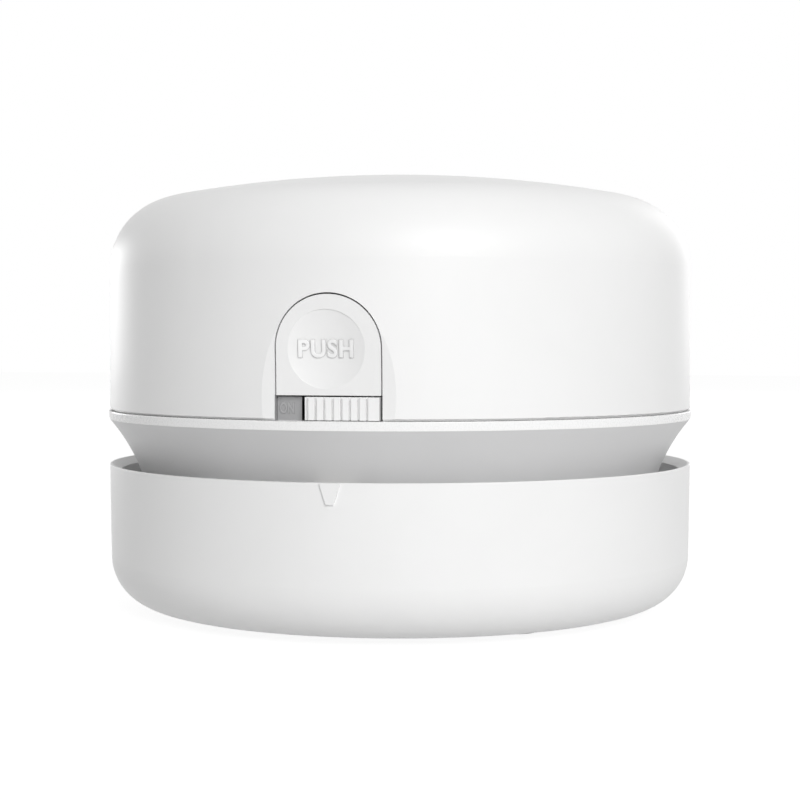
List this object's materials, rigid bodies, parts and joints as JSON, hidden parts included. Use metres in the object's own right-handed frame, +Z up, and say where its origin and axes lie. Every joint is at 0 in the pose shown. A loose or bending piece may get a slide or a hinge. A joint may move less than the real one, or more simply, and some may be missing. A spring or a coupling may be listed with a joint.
{
  "type": "desktop mini vacuum cleaner",
  "caption": "Round tabletop vacuum: domed motor unit over an open waist and a rounded dust bowl, with an arched push button and a ribbed power slider.",
  "frame": {"origin": "middle of the footprint, on the table", "axes": "+Z up, the button faces -Y, +X to the right of a viewer who looks at the button"},
  "size_m": [0.085, 0.0851, 0.0626],
  "materials": {
    "white_shell": "fine satin moulded ABS",
    "white_bowl": "satin moulded ABS",
    "white_band": "semi-gloss moulded ABS",
    "white_button": "satin moulded ABS",
    "white_slider": "satin moulded ABS",
    "grey_inner": "moulded ABS",
    "dark_inner": "moulded nylon",
    "seal_rubber": "soft TPE",
    "foot_rubber": "soft silicone pad",
    "damper_rubber": "foam rubber",
    "bristle": "nylon bristle",
    "filter_plastic": "moulded PP",
    "filter_steel": "woven screen",
    "filter_cloth": "pleated filter cloth",
    "screw_steel": "zinc plated",
    "spring_steel": "drawn wire",
    "latch_plastic": "acetal",
    "switch_steel": "tinned sheet",
    "fan_plastic": "moulded nylon",
    "can_steel": "nickel plated",
    "shaft_steel": "ground",
    "core_steel": "stacked sheet",
    "magnet": "ferrite",
    "bush_bronze": "sintered",
    "copper": "enamelled wire",
    "terminal_brass": "tinned brass",
    "cell_wrap": "shrink sleeve",
    "strap_nickel": "nickel strip",
    "board_green": "solder mask",
    "board_black": "component body",
    "socket_steel": "plated",
    "lamp_clear": "clear light guide",
    "lead_red": "insulated wire",
    "lead_black": "insulated wire"
  },
  "bodies": {
    "dust_cup": {"dust_bowl": "white_bowl", "intake_duct": "grey_inner", "brush_ring": "grey_inner", "bristle_tufts": "bristle", "glide_feet": "foot_rubber"},
    "filter": {"filter_frame": "filter_plastic", "filter_screen": "filter_steel", "filter_cloth": "filter_cloth"},
    "motor_unit": {"chassis": "white_band", "cup_seal": "seal_rubber", "case_screws": "screw_steel", "upper_shell": "white_shell", "button_spring": "spring_steel", "button_bracket": "grey_inner", "latch_tongue": "latch_plastic", "latch_screw": "screw_steel", "slide_switch": "switch_steel", "fan_cover": "grey_inner", "cover_screws": "screw_steel", "motor_can": "can_steel", "motor_cap": "dark_inner", "motor_magnets": "magnet", "motor_bushes": "bush_bronze", "motor_terminals": "terminal_brass", "motor_damper": "damper_rubber", "motor_clamp": "dark_inner", "clamp_screws": "screw_steel", "battery_cells": "cell_wrap", "battery_tray": "grey_inner", "cell_straps": "strap_nickel", "control_board": "board_green", "board_parts": "board_black", "board_screws": "screw_steel", "charge_socket": "socket_steel", "charge_lamp": "lamp_clear", "motor_leads": "lead_red", "battery_leads": "lead_black", "switch_leads": "lead_red"},
    "button": {"push_button": "white_button", "button_stem": "latch_plastic"},
    "slider": {"power_slider": "white_slider", "switch_lever": "dark_inner"},
    "rotor": {"impeller": "fan_plastic", "motor_shaft": "shaft_steel", "rotor_core": "core_steel", "rotor_windings": "copper", "commutator": "copper"}
  },
  "joints": [
    {"name": "unit_lift", "type": "slide", "parent": "dust_cup", "child": "motor_unit", "axis": [0, 0, 1], "range_m": [0, 0.05], "deforming": ["latch_tongue"]},
    {"name": "filter_out", "type": "slide", "parent": "dust_cup", "child": "filter", "axis": [0, 0, 1], "range_m": [0, 0.025]},
    {"name": "button_press", "type": "slide", "parent": "motor_unit", "child": "button", "axis": [0, 1, 0], "range_m": [0, 0.0016], "stiffness_N_per_m": 250, "springref_m": -0.002, "deforming": ["latch_tongue", "button_spring"]},
    {"name": "power_slide", "type": "slide", "parent": "motor_unit", "child": "slider", "axis": [-1, 0, 0], "range_m": [0, 0.0035]},
    {"name": "rotor_spin", "type": "hinge", "parent": "motor_unit", "child": "rotor", "pos_m": [0, 0, 0], "axis": [0, 0, 1], "continuous": true}
  ],
  "couplings": [
    {"joint": "filter_out", "follows": "unit_lift", "ratio": 0.5}
  ]
}
